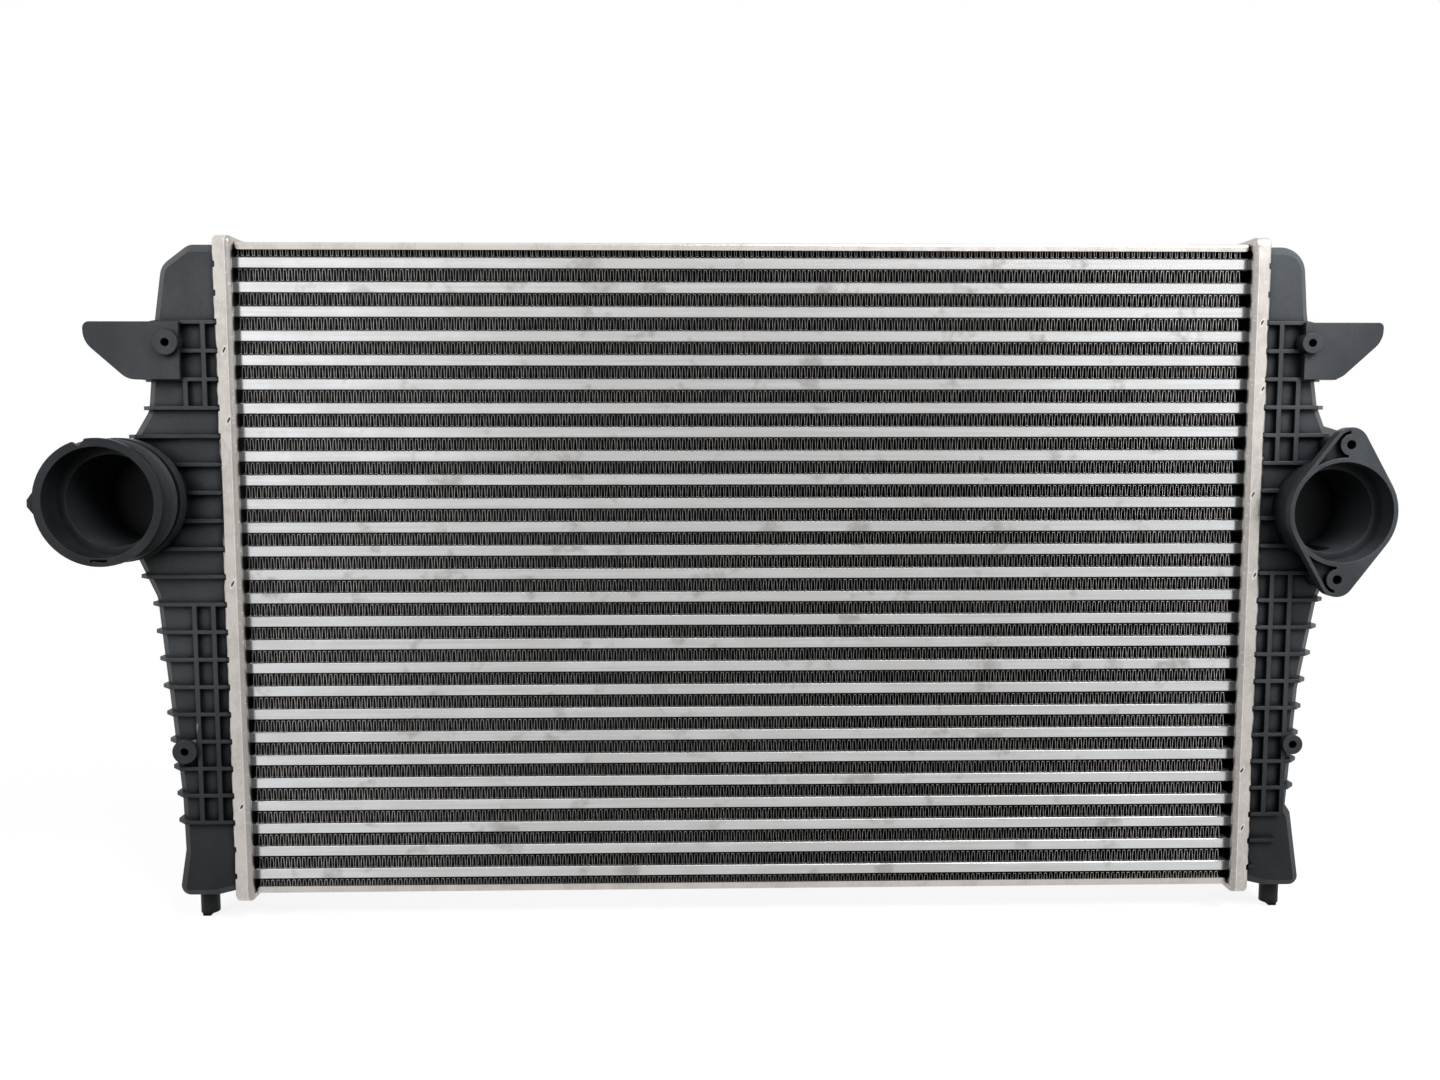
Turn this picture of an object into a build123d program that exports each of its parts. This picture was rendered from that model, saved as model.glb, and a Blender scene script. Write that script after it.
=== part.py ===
from build123d import *
from math import acos, cos, radians, sin
import os

# A charge-air cooler: a brazed core of flat tubes and folded fins between two
# header plates, with a moulded end tank crimped on each header.
# All sizes are in millimetres. X runs along the tubes, Y from front to back, Z up.
# Sub-parts are drawn about the middle of the core, and lifted when they are written,
# so that the origin lies midway between the two locating pins, at their shoulders.

# Core
core_length = 617.0       # between the two header plates
core_depth = 32.0
tube_count = 27
tube_pitch = 14.6
tube_height = 7.8
tube_wall = 0.8
tube_corner = 1.1         # chamfer along the four long edges of a tube
turbulator_sheet = 0.6    # a web at mid height stands for the turbulator in each tube
tube_reach = 4.0          # how far a tube end stands past the header's inner face
fin_sheet = 0.4
fin_waves = 4
fin_root = 0.3            # how far the outer fins' folds are brazed into the side plates
fin_end_gap = 6.0         # bare length of tube between a fin's end and the header

# Side plates
side_sheet = 1.5
side_lip = 4.6            # height of the folded lips, from the plate's outer face

# Header plates
header_sheet = 2.0
header_depth = 48.0
header_half_height = 205.5
header_width = 11.5
header_corner = 2.5       # chamfer along the tray's four upright corners
header_bend = 2.0         # chamfer round the tray's base
crimp_sheet = 1.5         # thickness of the tabs bent over the tank's foot
crimp_reach = 2.5         # how far the tabs reach inwards over the foot
crimp_gap = 3.4           # notch between two tabs, where a tank rib passes

# Gaskets and the tank's foot
gasket_thickness = 2.5
foot_clearance = 0.3
foot_width = 4.2          # width of the foot round the tank's mouth

# Tanks
tank_half_depth = 19.0
tank_wall = 3.0
tank_edge = 5.0           # chamfer along the tank's long edges
rib_pitch = 17.1
rib_thickness = 2.3
rib_height = 3.6          # on the front and the back
rib_side = 2.4            # past the tank's side
upright_thickness = 2.8

# Locating pins, one under each tank
pin_x = 345.0
pin_radius = 5.8
pin_length = 16.0
pin_tongue = 2.5          # length of the tongue on the pin's end
pin_shoulder = -203.5

# Shroud bosses, two on the front of each tank
left_boss_x = 346.5
left_boss_radius = 7.4
right_boss_x = 343.5
right_boss_radius = 6.2
boss_levels = {141.0: -30.0, -108.4: -26.0}    # Z of a boss, and Y of its face
boss_hole = 2.5
boss_hole_depth = 8.5

# Side brackets
bracket_face = -26.0
bracket_sheet = 3.0
bracket_top = 153.7
bracket_bottom = 119.3

# Left port: a grooved spigot that points to the front
spigot_x = 375.3
spigot_z = 47.3
spigot_neck = 34.4
spigot_ring = 36.6        # radius of the crests of the rings behind the rim
spigot_crests = [-53.8, -46.3, -38.8]
spigot_lip = 37.2         # radius of the rim, and of the collar behind the rings
spigot_rim = -60.0
spigot_seat = 32.2
spigot_bore = 27.5

# Right port: a two-bolt flange
flange_x = 359.0
flange_z = 38.8
flange_face = -45.0
flange_ring = 33.0
flange_bore = 30.3
flange_throat = 25.7
flange_bolt_circle = 81.6
flange_lean = 3.6         # the bolt line leans this many degrees from upright
flange_ear = 10.5
flange_bolt_boss = 6.5
flange_bolt_hole = 2.8
flange_bolt_depth = 20.0
flange_plate = 6.0
flange_rim = 2.2          # thin wall left round the recesses
flange_pocket = 4.0       # depth of the two recesses beside the bore ring

core_rise = -pin_shoulder
header_inner = core_length / 2
header_outer = header_inner + header_width
fin_height = tube_pitch - tube_height
core_top = (tube_count - 1) / 2 * tube_pitch + tube_height / 2 + fin_height
foot_inner = header_inner + header_sheet + gasket_thickness
foot_outer = header_outer - crimp_sheet
lip_half_depth = header_depth / 2 - header_sheet - crimp_reach
lip_half_height = header_half_height - header_sheet - crimp_reach


def box(x0, x1, y0, y1, z0, z1):
    # a block between two values on each axis
    size = Box(x1 - x0, y1 - y0, z1 - z0)
    return Pos((x0 + x1) / 2, (y0 + y1) / 2, (z0 + z1) / 2) * size


def front_slab(points, y0, y1, radius=0.0):
    # an outline in X and Z, given corner by corner, made solid from y0 to y1
    radii = radius if isinstance(radius, (list, tuple)) else [radius] * len(points)
    line = FilletPolyline(*points, radius=radii, close=True)
    face = Plane.XZ * make_face(line)
    return Pos(0, y0, 0) * extrude(face, y1 - y0, dir=(0, 1, 0))


def front_cylinder(x, z, radius, y0, y1):
    # a round bar along Y
    return Pos(x, (y0 + y1) / 2, z) * Rot(90, 0, 0) * Cylinder(radius, y1 - y0)


def tube_level(index):
    return (index - (tube_count - 1) / 2) * tube_pitch


def tube():
    # a flat tube, split into two layers by the web inside it
    section = chamfer(Rectangle(core_depth, tube_height).vertices(), tube_corner)
    layer = (tube_height - 2 * tube_wall - turbulator_sheet) / 2
    rise = (layer + turbulator_sheet) / 2
    cell = Rectangle(core_depth - 2 * tube_wall, layer)
    section -= [Pos(0, rise) * cell, Pos(0, -rise) * cell]
    length = 2 * (header_inner + tube_reach)
    return Pos(-length / 2, 0, 0) * extrude(Plane.YZ * section, length)


def fin_strip(root=0.0):
    # a strip of sheet folded into waves, its crests level with the tubes on both sides
    length = core_length - 2 * fin_end_gap
    leg = length / (2 * fin_waves)
    thickness = fin_sheet * (1 + (fin_height / leg) ** 2) ** 0.5
    trough = -fin_height / 2
    crest = fin_height / 2 + root
    upper = []
    lower = []
    for fold in range(2 * fin_waves + 1):
        x = -length / 2 + fold * leg
        level = crest if fold % 2 else trough + thickness
        upper.append((x, level))
        lower.append((x, level - thickness))
    face = Plane.XZ * make_face(Polyline(*upper, *reversed(lower), close=True))
    return extrude(face, core_depth / 2, both=True)


def side_plate():
    # the top channel with its outer fin; the bottom one is this turned over
    half = core_depth / 2
    top = core_top + side_sheet
    plate = box(-header_inner, header_inner, -half - side_sheet, half + side_sheet, core_top, top)
    for side in (-1, 1):
        near, far = sorted((side * half, side * (half + side_sheet)))
        plate += box(-header_inner, header_inner, near, far, top - side_lip, core_top)
    return plate + Pos(0, 0, core_top - fin_height / 2) * fin_strip(fin_root)


def rib_levels():
    # the tank ribs, from the top of the bracket down to the tank's plain lower end
    return [bracket_top - rib_pitch * index for index in range(19)]


def header():
    # the right header plate: a tray with a slot for each tube and a crimped rim
    blank = Rectangle(header_depth, 2 * header_half_height)
    outline = chamfer(blank.vertices(), header_corner)
    pocket = Rectangle(header_depth - 2 * header_sheet, 2 * (header_half_height - header_sheet))
    mouth = Rectangle(2 * lip_half_depth, 2 * lip_half_height)
    tray = Pos(header_inner, 0, 0) * extrude(Plane.YZ * outline, header_width)
    base = [edge for edge in tray.edges() if abs(edge.bounding_box().max.X - header_inner) < 0.01]
    tray = chamfer(base, header_bend)
    tray -= Pos(header_inner + header_sheet, 0, 0) * extrude(
        Plane.YZ * pocket, header_width - header_sheet - crimp_sheet)
    tray -= Pos(foot_outer, 0, 0) * extrude(Plane.YZ * mouth, crimp_sheet)
    slots = [Pos(header_inner, 0, tube_level(i)) * box(0, header_sheet, -core_depth / 2, core_depth / 2,
             -tube_height / 2, tube_height / 2) for i in range(tube_count)]
    notches = []
    for level in rib_levels() + [bracket_top - rib_pitch * i for i in (-1, -2, 19, 20)]:
        notches.append(box(foot_outer, header_outer, -header_depth / 2, -lip_half_depth,
                           level - crimp_gap / 2, level + crimp_gap / 2))
    return tray - slots - notches


def foot_ring(x0, x1):
    # a ring that fills the header tray's wall line, between two planes
    half_depth = header_depth / 2 - header_sheet - foot_clearance
    half_height = header_half_height - header_sheet - foot_clearance
    outer = Rectangle(2 * half_depth, 2 * half_height)
    inner = Rectangle(2 * (half_depth - foot_width), 2 * (half_height - foot_width))
    return Pos(x0, 0, 0) * extrude(Plane.YZ * (outer - inner), x1 - x0)


def gasket():
    return foot_ring(header_inner + header_sheet, foot_inner)


def body_shell(points, radii):
    # the tank's outer form with rounded long edges, and the air space inside it
    top = (foot_inner, points[0][1])
    low = (foot_inner, points[-1][1])
    outer = front_slab([top, *points, low], -tank_half_depth, tank_half_depth, [0, *radii, 0])
    rims = [edge for edge in outer.edges()
            if abs(abs(edge.center().Y) - tank_half_depth) < 0.01
            and edge.center().X > foot_inner + 0.01]
    outer = chamfer(rims, tank_edge)
    open_side = foot_inner - 2 * tank_wall
    wide = radii[0] if radii[0] > 3 * tank_wall else 0  # a round this wide needs one inside too
    rounds = [0, wide] + [0] * len(points)
    line = FilletPolyline((open_side, top[1]), *points, (open_side, low[1]), radius=rounds, close=True)
    room = offset(make_face(line), -tank_wall, kind=Kind.INTERSECTION)
    inner = extrude(Plane.XZ * room, tank_half_depth - tank_wall, both=True)
    return outer, inner


def rib(level, reach):
    # one rib: a thin slab round the tank, from the crimped rim to a little past its side
    half = tank_half_depth + rib_height
    edge = tank_edge + 1.5
    outline = Polyline((header_outer, -half), (reach - edge, -half), (reach, -half + edge),
                       (reach, half - edge), (reach - edge, half), (header_outer, half), close=True)
    slab = extrude(make_face(outline), rib_thickness / 2, both=True)
    return Pos(0, 0, level) * slab


def short_rib(level, reach):
    # a rib on the front face that stops before the tank's side
    half = rib_thickness / 2
    front = -tank_half_depth - rib_height
    return box(header_outer, reach, front, -tank_half_depth + 1, level - half, level + half)


def upright(x, low, high):
    # a vertical rib on the front face
    front = -tank_half_depth - rib_height
    half = upright_thickness / 2
    return box(x - half, x + half, front, -tank_half_depth + 1, low, high)


def side_reach(points, level):
    # the X of the tank's side at a height, on the straight lines between its corners
    for (x0, z0), (x1, z1) in zip(points, points[1:]):
        if z1 <= level <= z0 and z0 > z1 and max(x0, x1) > foot_outer + 30:
            return x0 + (x1 - x0) * (z0 - level) / (z0 - z1)
    return points[-1][0]


def bosses(x, radius):
    return [front_cylinder(x, z, radius, face, -tank_half_depth + 3)
            for z, face in boss_levels.items()]


def boss_holes(x):
    return [front_cylinder(x, z, boss_hole, face, face + boss_hole_depth)
            for z, face in boss_levels.items()]


def pin():
    # the locating pin under the tank, with a short tongue on its end
    root = 2.0
    middle = pin_shoulder + root - (pin_length + root) / 2
    shank = Pos(pin_x, 0, middle) * Cylinder(pin_radius, pin_length + root)
    end = pin_shoulder - pin_length
    return shank + box(pin_x - 1, pin_x + 4, -3, 3, end - pin_tongue, end + 1)


def bracket(points, radii, wall_x):
    # a side blade in front of the tank, on a wall and two webs that reach back to it
    back = bracket_face + bracket_sheet
    blade = front_slab(points, bracket_face, back, radii)
    root = -tank_half_depth + 3
    stem = [box(wall_x, wall_x + bracket_sheet, back, root, bracket_bottom, bracket_top)]
    for top in (bracket_top, bracket_bottom + bracket_sheet):
        stem.append(box(wall_x, wall_x + 22, back, root, top - bracket_sheet, top))
    return blade + stem


def spigot():
    # the left port's outer form: a turned sleeve, closed at the back, with a collar and
    # three rings behind the rim, and a lug for the hose clip
    back = tank_half_depth
    neck = spigot_neck
    profile = [(0, spigot_rim), (spigot_lip, spigot_rim), (spigot_lip, -57.5), (neck, -57.5)]
    for crest in spigot_crests:
        profile += [(spigot_ring, crest), (neck, crest + 3.75)]
    profile += [(spigot_lip, -35), (spigot_lip, -27.5), (neck, -27.5), (neck, back - 6),
                (neck - 6, back), (0, back)]
    lug = front_slab([(30, 6), (38, 6), (41.4, 1.5), (41.4, -2.5), (37, -8), (30, -8)], -57.5, -52)
    return turned(profile, spigot_x, spigot_z) + Pos(spigot_x, 0, spigot_z) * lug


def spigot_cuts():
    # the notch in the rim's top, and the slot in the foot of its face
    notch = front_slab([(15.1, 36), (15.1, 40), (6, 40), (6, 36), (9.2, 32.3)], spigot_rim, -57.5)
    slot = box(-4, 5.6, spigot_rim, spigot_rim + 3, -34.9, -33.1)
    return Pos(spigot_x, 0, spigot_z) * (notch + slot)


def spigot_room():
    # the air way inside it: a seat for the hose end, and the narrower bore behind
    back = tank_half_depth - tank_wall
    profile = [(0, back), (spigot_bore, back), (spigot_bore, -42), (spigot_seat, -42),
               (spigot_seat, spigot_rim), (0, spigot_rim)]
    return turned(profile, spigot_x, spigot_z)


def turned(profile, x, z):
    # a form turned about an axis along Y, its outline given as radius and Y
    face = Plane.XY * make_face(Polyline(*profile, close=True))
    return Pos(x, 0, z) * revolve(face, Axis.Y)


def flange_ears():
    # the centres of the two flange bolts, upper first
    half = flange_bolt_circle / 2
    across = half * sin(radians(flange_lean))
    along = half * cos(radians(flange_lean))
    return [(flange_x + side * across, flange_z + side * along) for side in (1, -1)]


def flange_outline():
    # two ears tangent to the bore ring: a diamond whose corners are rounded to both radii
    spread = acos((flange_ring - flange_ear) / (flange_bolt_circle / 2))
    tall = flange_ring / cos(spread)
    wide = flange_ring / sin(spread)
    corners = [(0, tall), (wide, 0), (0, -tall), (-wide, 0)]
    radii = [flange_ear, flange_ring, flange_ear, flange_ring]
    return make_face(FilletPolyline(*corners, radius=radii, close=True))


def on_flange(sketch, depth):
    # a sketch drawn about the bore, leant as the ears are, and sunk into the flange's face
    solid = extrude(Plane.XZ * sketch, depth, dir=(0, 1, 0))
    return Pos(flange_x, flange_face, flange_z) * Rot(0, flange_lean, 0) * solid


def flange():
    # the right port's outer form: an eared plate on a neck that is closed at the back
    plate = on_flange(flange_outline(), flange_plate)
    neck = flange_ring - 1.5
    back = tank_half_depth
    profile = [(0, back), (neck - 6, back), (neck, back - 6), (neck, flange_face + 1),
               (0, flange_face + 1)]
    posts = [front_cylinder(x, z, flange_bolt_boss, flange_face + 1, -tank_half_depth + 2)
             for x, z in flange_ears()]
    return plate + turned(profile, flange_x, flange_z) + posts


def flange_recess():
    # what is cut from the flange's face: a pocket beside each ear, and the two bolt holes
    inside = offset(flange_outline(), -flange_rim, kind=Kind.INTERSECTION)
    left_half = Pos(-flange_ring / 2 - 1, 0) * Rectangle(flange_ring, 2 * flange_bolt_circle)
    upper = inside & left_half & Pos(0, flange_bolt_circle / 2) * Rectangle(80, 40)
    upper -= Circle(flange_ring)
    upper -= Pos(0, flange_bolt_circle / 2) * Circle(flange_bolt_boss)
    cuts = on_flange(upper, flange_pocket) + on_flange(mirror(upper, Plane.XZ), flange_pocket)
    for x, z in flange_ears():
        cuts += front_cylinder(x, z, flange_bolt_hole, flange_face, flange_face + flange_bolt_depth)
    return cuts


def flange_room():
    back = tank_half_depth - tank_wall
    profile = [(0, back), (flange_throat, back), (flange_throat, -30), (flange_bore, -30),
               (flange_bore, flange_face), (0, flange_face)]
    return turned(profile, flange_x, flange_z)


def tank(points, radii, rib_count, additions, hollows):
    outer, inner = body_shell(points, radii)
    solid = outer + foot_ring(foot_inner, foot_outer)
    for level in rib_levels()[:rib_count]:
        solid += rib(level, side_reach(points, level) + rib_side)
    for piece in [*additions, pin()]:
        solid += piece
    for hollow in [inner, *hollows]:
        solid -= hollow
    return solid


# left tank, drawn on the right-hand side and mirrored when it is written
left_points = [(337, 200.6), (353.8, 188), (358.6, 157), (364.4, 101), (376, 82), (376, 13),
               (364, -14), (353.6, -140), (353, -174), (358, -203.5), (334, -203.5), (322, -200.6)]
left_radii = [9, 12, 0, 12, 0, 0, 16, 0, 0, 6, 0, 0]
left_bracket = [(340, 153.7), (396.5, 153.7), (396.5, 142), (371, 119.3), (340, 119.3)]
left_bracket_radii = [0, 4, 14, 12, 0]
left_uprights = [(327, -154, -17), (338.5, -154, -17), (327, 102, 153), (338.5, 102, 120)]

right_points = [(344, 200.6), (347.3, 161), (356, 103.5), (361, 91), (371, 88), (371, 8),
                (360.7, -18), (351, -75), (346.3, -150.5), (349.6, -155.5), (357, -203.5),
                (334, -203.5), (322, -200.6)]
right_radii = [16, 0, 0, 0, 0, 0, 0, 0, 0, 0, 5.5, 0, 0]
right_bracket = [(341, 153.7), (389, 153.7), (389, 143), (363, 119.3), (341, 119.3)]
right_bracket_radii = [0, 3, 14, 12, 0]
right_uprights = [(328, -154, -1), (339.5, -154, -1), (328, 67, 153), (339.5, 67, 120)]
right_short_ribs = [(-154.1, 339.5), (-171.2, 337), (-188.3, 323.5)]


def write(node, shape):
    export_step(Pos(0, 0, core_rise) * shape, f"parts/{node}.step")


os.makedirs("parts", exist_ok=True)
tube_shape = tube()
for index in range(tube_count):
    write(f"tube_{index + 1:02d}", Pos(0, 0, tube_level(index)) * tube_shape)
fin_shape = fin_strip()
for index in range(tube_count - 1):
    write(f"fin_{index + 1:02d}", Pos(0, 0, tube_level(index) + tube_pitch / 2) * fin_shape)
top_plate = side_plate()
write("side_plate_top", top_plate)
write("side_plate_bottom", Rot(180, 0, 0) * top_plate)
right_header = header()
write("header_plate_right", right_header)
write("header_plate_left", mirror(right_header, Plane.YZ))
right_gasket = gasket()
write("tank_gaskets", Compound([right_gasket, mirror(right_gasket, Plane.YZ)]))
right_additions = [upright(*place) for place in right_uprights]
right_additions += [short_rib(*place) for place in right_short_ribs]
right_additions += [bracket(right_bracket, right_bracket_radii, 341), flange()]
right_additions += bosses(right_boss_x, right_boss_radius)
right_hollows = [flange_room(), flange_recess(), *boss_holes(right_boss_x)]
write("tank_right", tank(right_points, right_radii, 18, right_additions, right_hollows))
left_additions = [upright(*place) for place in left_uprights]
left_additions += [bracket(left_bracket, left_bracket_radii, 343), spigot()]
left_additions += bosses(left_boss_x, left_boss_radius)
left_hollows = [spigot_room(), spigot_cuts(), *boss_holes(left_boss_x)]
left_tank = tank(left_points, left_radii, 19, left_additions, left_hollows)
write("tank_left", mirror(left_tank, Plane.YZ))
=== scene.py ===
import random
from math import cos, pi, radians, sin

import bmesh
import bpy
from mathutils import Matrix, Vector


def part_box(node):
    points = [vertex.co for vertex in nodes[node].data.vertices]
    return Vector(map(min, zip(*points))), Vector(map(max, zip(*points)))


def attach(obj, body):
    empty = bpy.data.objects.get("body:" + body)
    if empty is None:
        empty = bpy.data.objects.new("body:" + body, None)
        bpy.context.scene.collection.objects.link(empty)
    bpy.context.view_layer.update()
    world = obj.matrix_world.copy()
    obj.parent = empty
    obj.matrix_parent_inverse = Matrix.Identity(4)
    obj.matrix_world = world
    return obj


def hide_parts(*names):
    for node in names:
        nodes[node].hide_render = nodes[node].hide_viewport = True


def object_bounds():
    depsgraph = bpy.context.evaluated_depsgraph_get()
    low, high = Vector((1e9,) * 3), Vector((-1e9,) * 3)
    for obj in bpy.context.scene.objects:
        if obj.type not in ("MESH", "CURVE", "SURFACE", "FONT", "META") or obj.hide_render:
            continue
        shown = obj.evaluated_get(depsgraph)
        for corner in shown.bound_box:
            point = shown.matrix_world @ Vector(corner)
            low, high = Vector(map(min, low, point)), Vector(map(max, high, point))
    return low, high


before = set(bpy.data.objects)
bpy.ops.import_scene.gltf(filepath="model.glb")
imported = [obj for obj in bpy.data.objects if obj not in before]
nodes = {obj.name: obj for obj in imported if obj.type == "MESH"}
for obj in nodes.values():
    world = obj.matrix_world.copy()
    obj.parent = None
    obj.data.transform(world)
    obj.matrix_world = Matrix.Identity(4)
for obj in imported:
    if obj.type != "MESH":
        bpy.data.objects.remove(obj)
cadLow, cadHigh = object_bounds()
scene = bpy.context.scene
scene.view_settings.view_transform = "Standard"
mm = 0.001


# camera, lamps, floor

camera = {
    "spot": (-0.0322, -0.7365, 0.2866),
    "turn": (85.07, 0.06, -1.27),  # degrees
    "lens": 29.125,
    "sensor": 36.0,
}


def placeCamera():
    data = bpy.data.cameras.new("camera")
    data.sensor_fit = "HORIZONTAL"
    data.sensor_width = camera["sensor"]
    data.lens = camera["lens"]
    data.clip_start = 0.01
    obj = bpy.data.objects.new("camera", data)
    obj.location = camera["spot"]
    obj.rotation_euler = [radians(a) for a in camera["turn"]]
    scene.collection.objects.link(obj)
    scene.camera = obj


def emptyTree(owner):
    owner.use_nodes = True
    tree = owner.node_tree
    tree.nodes.clear()
    return tree


def add(tree, kind, settings=None, **inputs):
    # a node with its settings, and its inputs set to a value or linked to a socket
    node = tree.nodes.new(kind)
    for name, value in (settings or {}).items():
        setattr(node, name, value)
    for name, value in inputs.items():
        key = int(name[1:]) if name[0] == "i" and name[1:].isdigit() else name.replace("_", " ")
        if isinstance(value, bpy.types.NodeSocket):
            tree.links.new(value, node.inputs[key])
        else:
            node.inputs[key].default_value = value
    return node


def calc(tree, operation, a, b=0.0, c=0.0):
    return add(tree, "ShaderNodeMath", {"operation": operation}, i0=a, i1=b, i2=c).outputs[0]


def axes(tree, place):
    return add(tree, "ShaderNodeSeparateXYZ", Vector=place).outputs


def absolute(tree, value):
    return calc(tree, "ABSOLUTE", value)


def product(tree, first, *others):
    for value in others:
        first = calc(tree, "MULTIPLY", first, value)
    return first


def vector(tree, operation, first, second):
    return add(tree, "ShaderNodeVectorMath", {"operation": operation}, i0=first, i1=second).outputs[0]


def blendTwo(tree, first, share, second, otherShare):
    return calc(tree, "ADD", product(tree, first, share), product(tree, second, otherShare))


def remap(tree, value, low, high, toLow=0.0, toHigh=1.0):
    node = add(tree, "ShaderNodeMapRange", {"interpolation_type": "SMOOTHSTEP"}, Value=value,
               From_Min=low, From_Max=high, To_Min=toLow, To_Max=toHigh)
    return node.outputs["Result"]


def blendColor(tree, factor, first, second):
    mix = add(tree, "ShaderNodeMix", {"data_type": "RGBA"}, i0=factor)
    for socket, value in ((mix.inputs[6], first), (mix.inputs[7], second)):
        if isinstance(value, bpy.types.NodeSocket):
            tree.links.new(value, socket)
        else:
            socket.default_value = (*value, 1.0)
    return mix.outputs[2]


studio = {
    "ambient": 0.27,  # what the world gives to matte surfaces
    "darkSide": 0.64,  # the room in front of the part, as metal shows it
    "darkWay": (0.05, -0.99, -0.06),  # the middle of that dark side
    "darkFrom": 0.998, "darkTo": 0.93,  # where it starts and ends, as a cosine from its middle
}


def lightWorld():
    world = bpy.data.worlds.new("studio")
    scene.world = world
    tree = emptyTree(world)
    way = add(tree, "ShaderNodeTexCoord").outputs["Generated"]
    front = add(tree, "ShaderNodeVectorMath", {"operation": "DOT_PRODUCT"}, i0=way,
                i1=studio["darkWay"]).outputs["Value"]
    room = remap(tree, front, studio["darkTo"], studio["darkFrom"], 1.0, studio["darkSide"])
    path = add(tree, "ShaderNodeLightPath").outputs
    shiny = product(tree, path["Is Glossy Ray"], room)
    clear = calc(tree, "MAXIMUM", path["Is Camera Ray"], path["Is Transmission Ray"])
    shown = calc(tree, "MAXIMUM", clear, shiny)
    matte = product(tree, calc(tree, "SUBTRACT", 1.0, path["Is Glossy Ray"]), studio["ambient"])
    level = calc(tree, "MAXIMUM", shown, matte)
    back = add(tree, "ShaderNodeBackground", Color=(1, 1, 1, 1), Strength=level)
    out = add(tree, "ShaderNodeOutputWorld")
    tree.links.new(back.outputs[0], out.inputs["Surface"])


lamps = [  # the first two hang in one place, and metal mirrors only the first
    {"name": "keyLamp", "spot": (0.60, -0.75, 1.15), "aim": (0.24, 0.0, 0.46), "size": 0.8,
     "power": 2.6, "spread": 60, "mirrored": True},
    {"name": "keySoft", "spot": (0.60, -0.75, 1.15), "aim": (0.24, 0.0, 0.46), "size": 0.8,
     "power": 9.4, "spread": 60, "mirrored": False},
    {"name": "fillLamp", "spot": (-0.75, -1.0, 1.1), "aim": (-0.25, 0.0, 0.42), "size": 0.9,
     "power": 4.6, "spread": 60, "mirrored": False},
    {"name": "topLamp", "spot": (0.0, 0.25, 1.3), "aim": (0.0, 0.0, 0.2), "size": 1.2,
     "power": 6.0, "spread": 160, "mirrored": False},
]


def hangLamps():
    for lamp in lamps:
        data = bpy.data.lights.new(lamp["name"], "AREA")
        data.shape = "SQUARE"
        data.size = lamp["size"]
        data.energy = lamp["power"]
        data.spread = radians(lamp["spread"])
        obj = bpy.data.objects.new(lamp["name"], data)
        obj.location = lamp["spot"]
        way = Vector(lamp["aim"]) - obj.location
        obj.rotation_euler = way.to_track_quat("-Z", "Y").to_euler()
        obj.visible_glossy = lamp["mirrored"]
        scene.collection.objects.link(obj)


floor = {
    "drop": 0.5 * mm, "size": 12.0,
    "paper": 0.82, "bounce": 0.09,  # as the lamps see it, and as it lights the part's lower side
    "glow": 0.86, "glowFrom": 0.35, "glowTo": 0.8,  # white share near the part and far from it
    "nearShine": 0.72, "shineFrom": -0.1, "shineTo": 0.5,  # what metal shows of it, front to back
}


def layFloor():
    mesh = bpy.data.meshes.new("floor")
    half = floor["size"] / 2
    level = cadLow.z - floor["drop"]
    mesh.from_pydata([(-half, -half, level), (half, -half, level), (half, half, level),
                      (-half, half, level)], [], [(0, 1, 2, 3)])
    obj = bpy.data.objects.new("floor", mesh)
    scene.collection.objects.link(obj)
    mat = bpy.data.materials.new("floorPaper")
    tree = emptyTree(mat)
    spot = add(tree, "ShaderNodeTexCoord").outputs["Object"]
    away = add(tree, "ShaderNodeVectorMath", {"operation": "LENGTH"}, i0=spot).outputs["Value"]
    far = remap(tree, away, floor["glowFrom"], floor["glowTo"], floor["glow"], 1.0)
    shine = remap(tree, axes(tree, spot)["Y"], floor["shineFrom"], floor["shineTo"],
                  floor["nearShine"], 1.0)
    path = add(tree, "ShaderNodeLightPath").outputs
    clear = calc(tree, "MAXIMUM", path["Is Camera Ray"], path["Is Transmission Ray"])
    shown = product(tree, clear, far)
    color = blendColor(tree, path["Is Diffuse Ray"], (floor["paper"],) * 3, (floor["bounce"],) * 3)
    paper = add(tree, "ShaderNodeBsdfDiffuse", Color=color)
    strength = calc(tree, "MAXIMUM", clear, product(tree, path["Is Glossy Ray"], shine))
    glow = add(tree, "ShaderNodeEmission", Color=(1, 1, 1, 1), Strength=strength)
    mix = add(tree, "ShaderNodeMixShader", Fac=calc(tree, "MAXIMUM", shown, path["Is Glossy Ray"]))
    tree.links.new(paper.outputs[0], mix.inputs[1])
    tree.links.new(glow.outputs[0], mix.inputs[2])
    out = add(tree, "ShaderNodeOutputMaterial")
    tree.links.new(mix.outputs[0], out.inputs["Surface"])
    mesh.materials.append(mat)


placeCamera()
lightWorld()
hangLamps()
layFloor()
print("stage: camera, lamps and floor")


# materials

def surface(name):
    # a new material with a Principled shader, and the piece's own coordinates, in metres
    mat = bpy.data.materials.new(name)
    tree = emptyTree(mat)
    shader = add(tree, "ShaderNodeBsdfPrincipled")
    out = add(tree, "ShaderNodeOutputMaterial")
    tree.links.new(shader.outputs[0], out.inputs["Surface"])
    place = add(tree, "ShaderNodeTexCoord").outputs["Object"]
    return mat, tree, shader, place


def grain(tree, place, scale, detail=3.0, roughness=0.55):
    # noise from waves per metre along each axis, the detail of its layers and their roughness
    stretched = add(tree, "ShaderNodeMapping", {"vector_type": "POINT"}, Vector=place, Scale=scale)
    noise = add(tree, "ShaderNodeTexNoise", Vector=stretched.outputs[0], Scale=1.0, Detail=detail,
                Roughness=roughness)
    return noise.outputs["Fac"]


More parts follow.
